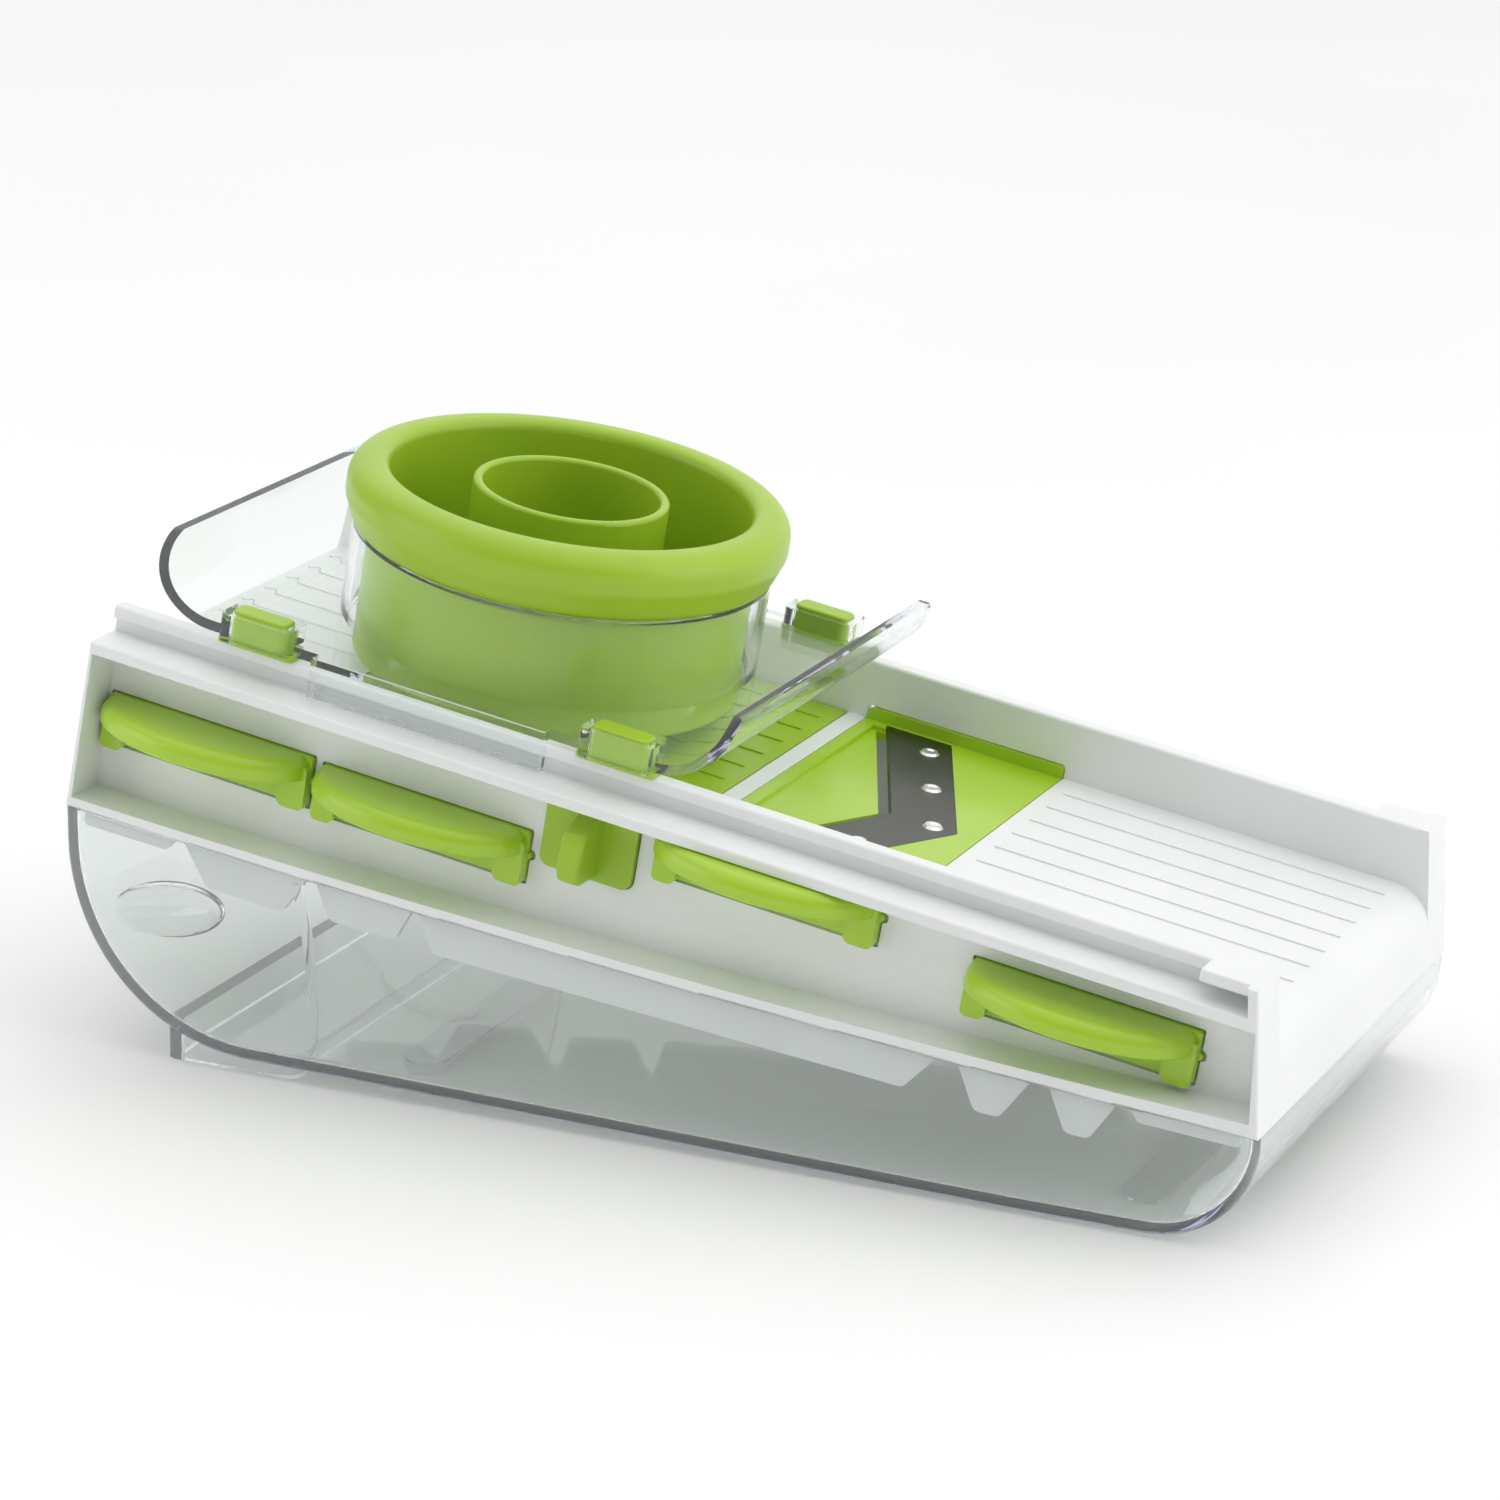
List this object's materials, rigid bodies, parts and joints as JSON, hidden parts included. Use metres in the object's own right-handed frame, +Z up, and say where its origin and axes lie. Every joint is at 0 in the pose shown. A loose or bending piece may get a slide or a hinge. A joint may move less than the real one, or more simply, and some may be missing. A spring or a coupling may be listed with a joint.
{
  "type": "mandoline slicer",
  "caption": "Mandoline slicer: sloping white runway with V blade, stored blade inserts, clear sliding guard with green cup pusher, on a clear food container.",
  "frame": {"origin": "under the middle of the slicer with its insert handles, on the surface it stands on", "axes": "+X along the slicer towards the runway's low end, +Y towards the back, away from the insert handles, +Z up"},
  "size_m": [0.275, 0.1315, 0.1316],
  "materials": {
    "clear_plastic": "clear, polished, faint blue-violet at its cut edges",
    "white_plastic": "white ABS, smooth satin",
    "green_plastic": "lime green, smooth satin to gloss",
    "blade_steel": "stainless blade steel, fine ground",
    "stud_steel": "bright stainless",
    "pad_rubber": "soft translucent non-slip rubber"
  },
  "bodies": {
    "base": {"container": "clear_plastic", "high_pad": "pad_rubber", "low_pad": "pad_rubber"},
    "frame": {"frame_body": "white_plastic"},
    "ramp": {"ramp": "green_plastic", "ramp_pins": "stud_steel"},
    "slider": {"thickness_slider": "green_plastic"},
    "v_slicer": {"v_slicer_insert": "green_plastic", "v_blade": "blade_steel", "v_blade_studs": "stud_steel"},
    "fine_julienne": {"fine_julienne_insert": "green_plastic", "fine_julienne_blade": "blade_steel", "fine_julienne_studs": "stud_steel", "fine_julienne_comb": "blade_steel"},
    "coarse_julienne": {"coarse_julienne_insert": "green_plastic", "coarse_julienne_blade": "blade_steel", "coarse_julienne_studs": "stud_steel", "coarse_julienne_comb": "blade_steel"},
    "grater": {"grater_insert": "green_plastic", "grater_plate": "blade_steel", "grater_studs": "stud_steel"},
    "guard": {"guard_body": "clear_plastic", "glide_high_near": "green_plastic", "glide_high_far": "green_plastic", "glide_low_near": "green_plastic", "glide_low_far": "green_plastic"},
    "pusher": {"pusher_cup": "green_plastic", "pusher_prongs": "stud_steel"}
  },
  "joints": [
    {"name": "frame_lift", "type": "slide", "parent": "base", "child": "frame", "axis": [0, 0, 1], "range_m": [0, 0.07]},
    {"name": "thickness_slide", "type": "slide", "parent": "frame", "child": "slider", "axis": [0, -1, 0], "range_m": [0, 0.012]},
    {"name": "ramp_tilt", "type": "hinge", "parent": "frame", "child": "ramp", "pos_m": [-0.08423, 0.00275, 0.07611], "axis": [0, 1, 0], "range_deg": [0, 1.94]},
    {"name": "v_slicer_slide", "type": "slide", "parent": "frame", "child": "v_slicer", "axis": [0, -1, 0], "range_m": [0, 0.112]},
    {"name": "fine_julienne_slide", "type": "slide", "parent": "frame", "child": "fine_julienne", "axis": [0, -1, 0], "range_m": [0, 0.112]},
    {"name": "coarse_julienne_slide", "type": "slide", "parent": "frame", "child": "coarse_julienne", "axis": [0, -1, 0], "range_m": [0, 0.112]},
    {"name": "grater_slide", "type": "slide", "parent": "frame", "child": "grater", "axis": [0, -1, 0], "range_m": [0, 0.112]},
    {"name": "guard_slide", "type": "slide", "parent": "frame", "child": "guard", "axis": [0.987, 0, -0.1609], "range_m": [-0.014, 0.149]},
    {"name": "pusher_slide", "type": "slide", "parent": "guard", "child": "pusher", "axis": [0.1609, 0, 0.987], "range_m": [0, 0.06]}
  ],
  "couplings": [
    {"joint": "ramp_tilt", "follows": "thickness_slide", "rad_per_m": 2.8079}
  ]
}
